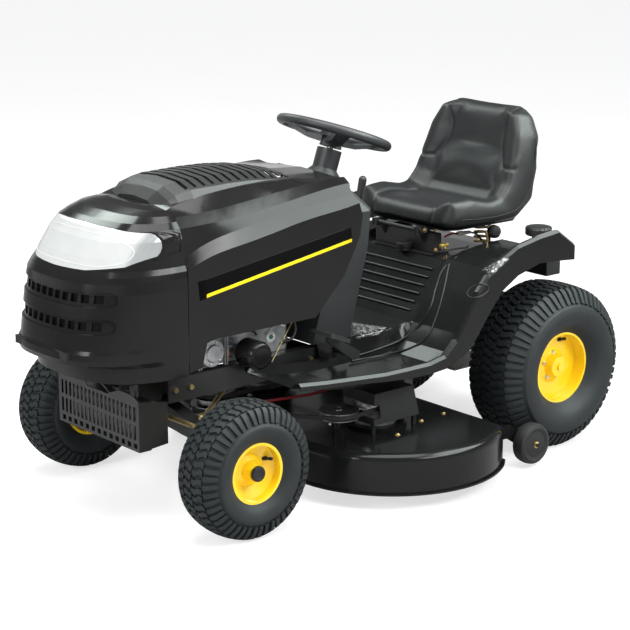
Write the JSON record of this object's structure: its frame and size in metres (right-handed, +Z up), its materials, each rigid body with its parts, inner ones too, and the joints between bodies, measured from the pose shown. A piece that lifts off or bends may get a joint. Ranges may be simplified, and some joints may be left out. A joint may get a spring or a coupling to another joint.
{
  "type": "riding lawn mower",
  "caption": "Riding lawn mower: seated driver steers a hooded tractor whose mid-mounted mower deck hangs between the axles and throws clippings to the right.",
  "frame": {"origin": "on the ground under the middle of the machine's bounding box", "axes": "+Y towards the rear, +X to the tractor's left, +Z up"},
  "size_m": [1.3299, 1.8439, 1.0488],
  "materials": {
    "hood_black": "gloss",
    "body_grey": "satin",
    "dash_grey": "satin",
    "frame_black": "satin",
    "deck_paint": "satin",
    "wheel_yellow": "gloss",
    "tyre": "matte",
    "hard_rubber": "matte",
    "vinyl": "satin",
    "lens": "frosted",
    "engine_cast": "cast",
    "steel": "satin",
    "zinc": "satin",
    "black_plastic": "matte",
    "cast_iron": "matte"
  },
  "bodies": {
    "chassis": {"frame_rail_left": "frame_black", "frame_rail_right": "frame_black", "front_cross_member": "frame_black", "rear_drawbar": "frame_black", "muffler_guard": "frame_black", "muffler": "steel", "frame_bolts": "zinc", "engine_block": "engine_cast", "blower_housing": "black_plastic", "oil_filter": "black_plastic", "steering_plate": "frame_black", "dash_panel": "dash_grey", "fender_deck": "body_grey", "fuel_tank": "black_plastic", "fuel_cap": "black_plastic", "transaxle": "engine_cast", "drive_belt": "hard_rubber", "seat_bracket": "frame_black", "seat_springs": "steel"},
    "hood": {"hood_shell": "hood_black", "nose_panel": "hood_black", "headlight_lens": "lens", "louver_cowl": "black_plastic"},
    "seat": {"seat_cushion": "vinyl", "seat_pan": "frame_black"},
    "steering_wheel": {"steering_wheel": "dash_grey", "steering_shaft": "steel"},
    "pinion": {"pinion": "steel"},
    "sector": {"sector_gear": "steel"},
    "front_axle": {"front_axle": "cast_iron"},
    "spindle_left": {"spindle_left": "cast_iron"},
    "spindle_right": {"spindle_right": "cast_iron"},
    "tie_rod": {"tie_rod": "zinc"},
    "drag_link": {"drag_link": "zinc"},
    "front_wheel_left": {"front_rim_left": "wheel_yellow", "front_tyre_left": "tyre"},
    "front_wheel_right": {"front_rim_right": "wheel_yellow", "front_tyre_right": "tyre"},
    "rear_wheel_left": {"rear_rim_left": "wheel_yellow", "rear_tyre_left": "tyre"},
    "rear_wheel_right": {"rear_rim_right": "wheel_yellow", "rear_tyre_right": "tyre"},
    "deck": {"deck_shell": "deck_paint", "spindle_housings": "engine_cast", "belt_covers": "black_plastic", "deck_links": "steel", "mower_belt": "hard_rubber"},
    "deflector": {"deflector": "frame_black"},
    "blade_left": {"blade_spindle_left": "steel", "blade_left": "steel"},
    "blade_right": {"blade_spindle_right": "steel", "blade_right": "steel"},
    "idler": {"idler_pulley": "steel"},
    "engine_pulley": {"engine_pulley": "steel"},
    "transaxle_pulley": {"transaxle_pulley": "steel"},
    "gauge_wheel_left": {"gauge_wheel_left": "hard_rubber"},
    "gauge_wheel_right": {"gauge_wheel_right": "hard_rubber"},
    "lift_lever": {"lift_lever": "frame_black"},
    "brake_pedal": {"brake_pedal": "frame_black"},
    "throttle_lever": {"throttle_lever": "black_plastic"}
  },
  "joints": [
    {"name": "hood_tilt", "type": "hinge", "parent": "chassis", "child": "hood", "pos_m": [0.057, -0.767, 0.402], "axis": [1, 0, 0], "range_deg": [0, 60]},
    {"name": "seat_tilt", "type": "hinge", "parent": "chassis", "child": "seat", "pos_m": [0.057, 0.375, 0.668], "axis": [1, 0, 0], "range_deg": [0, 55]},
    {"name": "steering_turn", "type": "hinge", "parent": "chassis", "child": "steering_wheel", "pos_m": [0.057, 0.1176, 0.9807], "axis": [0, 0.3387, 0.9409], "range_deg": [-180, 180]},
    {"name": "pinion_turn", "type": "hinge", "parent": "chassis", "child": "pinion", "pos_m": [0.057, -0.07274, 0.372], "axis": [0, 0, 1], "range_deg": [-181, 181]},
    {"name": "sector_swing", "type": "hinge", "parent": "chassis", "child": "sector", "pos_m": [0.057, -0.16274, 0.356], "axis": [0, 0, 1], "range_deg": [-26.01, 26.01]},
    {"name": "axle_rock", "type": "hinge", "parent": "chassis", "child": "front_axle", "pos_m": [0.057, -0.537, 0.268], "axis": [0, 1, 0], "range_deg": [-5, 5]},
    {"name": "steer_left", "type": "hinge", "parent": "front_axle", "child": "spindle_left", "pos_m": [0.347, -0.537, 0.236], "axis": [0, 0, 1], "range_deg": [-26.01, 26.01]},
    {"name": "steer_right", "type": "hinge", "parent": "front_axle", "child": "spindle_right", "pos_m": [-0.233, -0.537, 0.236], "axis": [0, 0, 1], "range_deg": [-26.01, 26.01]},
    {"name": "tie_rod_swing", "type": "hinge", "parent": "spindle_left", "child": "tie_rod", "pos_m": [0.347, -0.612, 0.293], "axis": [0, 0, 1], "range_deg": [-26.01, 26.01]},
    {"name": "drag_link_swing", "type": "hinge", "parent": "spindle_left", "child": "drag_link", "pos_m": [0.272, -0.537, 0.285], "axis": [0, 0, 1], "range_deg": [-26.01, 26.01]},
    {"name": "front_roll_left", "type": "hinge", "parent": "spindle_left", "child": "front_wheel_left", "pos_m": [0.4515, -0.537, 0.19], "axis": [1, 0, 0], "continuous": true},
    {"name": "front_roll_right", "type": "hinge", "parent": "spindle_right", "child": "front_wheel_right", "pos_m": [-0.3375, -0.537, 0.19], "axis": [1, 0, 0], "continuous": true},
    {"name": "rear_roll_left", "type": "hinge", "parent": "chassis", "child": "rear_wheel_left", "pos_m": [0.4095, 0.668, 0.254], "axis": [1, 0, 0], "continuous": true},
    {"name": "rear_roll_right", "type": "hinge", "parent": "chassis", "child": "rear_wheel_right", "pos_m": [-0.2955, 0.668, 0.254], "axis": [1, 0, 0], "continuous": true},
    {"name": "deck_lift", "type": "slide", "parent": "chassis", "child": "deck", "axis": [0, 0, 1], "range_m": [-0.01, 0.05], "deforming": ["mower_belt"]},
    {"name": "lift_lever_swing", "type": "hinge", "parent": "chassis", "child": "lift_lever", "pos_m": [0.057, 0.423, 0.368], "axis": [-1, 0, 0], "range_deg": [-6, 25]},
    {"name": "deflector_swing", "type": "hinge", "parent": "deck", "child": "deflector", "pos_m": [-0.547, 0.053, 0.146], "axis": [0, 1, 0], "range_deg": [0, 80]},
    {"name": "blade_spin_left", "type": "hinge", "parent": "deck", "child": "blade_left", "pos_m": [0.319, 0.053, 0.232], "axis": [0, 0, 1], "continuous": true},
    {"name": "blade_spin_right", "type": "hinge", "parent": "deck", "child": "blade_right", "pos_m": [-0.205, 0.053, 0.232], "axis": [0, 0, 1], "continuous": true},
    {"name": "idler_spin", "type": "hinge", "parent": "deck", "child": "idler", "pos_m": [0.343, -0.109, 0.232], "axis": [0, 0, 1], "continuous": true},
    {"name": "engine_spin", "type": "hinge", "parent": "chassis", "child": "engine_pulley", "pos_m": [0.057, -0.337, 0.232], "axis": [0, 0, 1], "continuous": true},
    {"name": "transaxle_spin", "type": "hinge", "parent": "chassis", "child": "transaxle_pulley", "pos_m": [0.057, 0.556, 0.272], "axis": [0, 0, 1], "continuous": true},
    {"name": "gauge_roll_left", "type": "hinge", "parent": "deck", "child": "gauge_wheel_left", "pos_m": [0.557, 0.463, 0.074], "axis": [1, 0, 0], "continuous": true},
    {"name": "gauge_roll_right", "type": "hinge", "parent": "deck", "child": "gauge_wheel_right", "pos_m": [-0.443, 0.463, 0.074], "axis": [1, 0, 0], "continuous": true},
    {"name": "brake_press", "type": "hinge", "parent": "chassis", "child": "brake_pedal", "pos_m": [0.329, -0.032, 0.386], "axis": [1, 0, 0], "range_deg": [0, 16], "stiffness_Nm_per_rad": 10, "springref_deg": -20.05},
    {"name": "throttle_swing", "type": "hinge", "parent": "chassis", "child": "throttle_lever", "pos_m": [-0.063, 0.023, 0.808], "axis": [1, 0, 0], "range_deg": [-12, 12]}
  ],
  "couplings": [
    {"joint": "pinion_turn", "follows": "steering_turn", "ratio": 1},
    {"joint": "sector_swing", "follows": "steering_turn", "ratio": 0.14286},
    {"joint": "steer_left", "follows": "steering_turn", "ratio": 0.14286},
    {"joint": "steer_right", "follows": "steering_turn", "ratio": 0.14286},
    {"joint": "tie_rod_swing", "follows": "steering_turn", "ratio": -0.14286},
    {"joint": "drag_link_swing", "follows": "steering_turn", "ratio": -0.14286},
    {"joint": "lift_lever_swing", "follows": "deck_lift", "rad_per_m": 8},
    {"joint": "blade_spin_right", "follows": "blade_spin_left", "ratio": 1},
    {"joint": "idler_spin", "follows": "blade_spin_left", "ratio": 1.2083},
    {"joint": "engine_spin", "follows": "blade_spin_left", "ratio": 1},
    {"joint": "transaxle_spin", "follows": "blade_spin_left", "ratio": 1}
  ]
}
